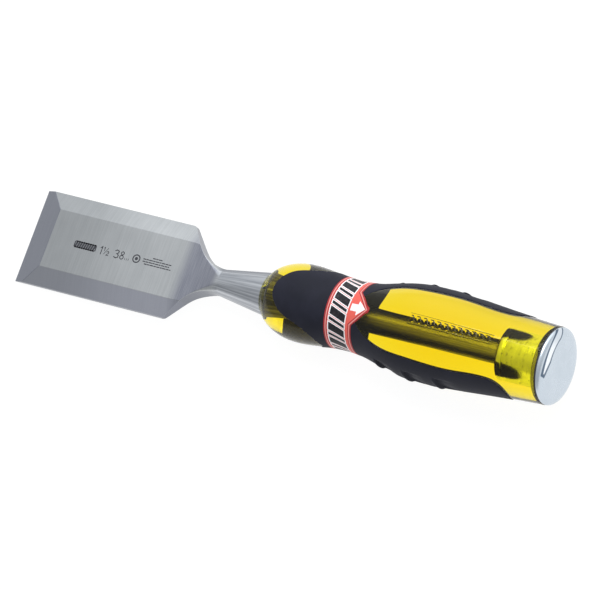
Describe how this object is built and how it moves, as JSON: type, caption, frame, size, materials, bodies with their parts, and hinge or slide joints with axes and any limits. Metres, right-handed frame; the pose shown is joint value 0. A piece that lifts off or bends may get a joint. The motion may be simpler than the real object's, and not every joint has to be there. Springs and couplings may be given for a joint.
{
  "type": "bench chisel",
  "caption": "Wide bevel-edge bench chisel with a through tang, a clear amber handle with black rubber grips, a red wrap label and a steel strike cap.",
  "frame": {"origin": "middle of the cutting edge, on the flat back of the blade", "axes": "+X along the tool from the cutting edge to the strike cap, +Z out of the bevelled face, flat back at Z = 0"},
  "size_m": [0.2366, 0.0382, 0.0366],
  "materials": {
    "blade_steel": "ground satin",
    "clear_amber_plastic": "clear amber, polished",
    "grip_rubber": "matt moulded",
    "label_film": "printed film",
    "sleeve_steel": "turned",
    "washer_plastic": "moulded",
    "cap_chrome": "satin face, bright edge"
  },
  "bodies": {
    "root": {"blade_and_tang": "blade_steel", "handle_body": "clear_amber_plastic", "soft_grip": "grip_rubber", "label_band": "label_film", "tang_sleeve": "sleeve_steel", "cap_washer": "washer_plastic", "strike_cap": "cap_chrome"}
  },
  "joints": []
}
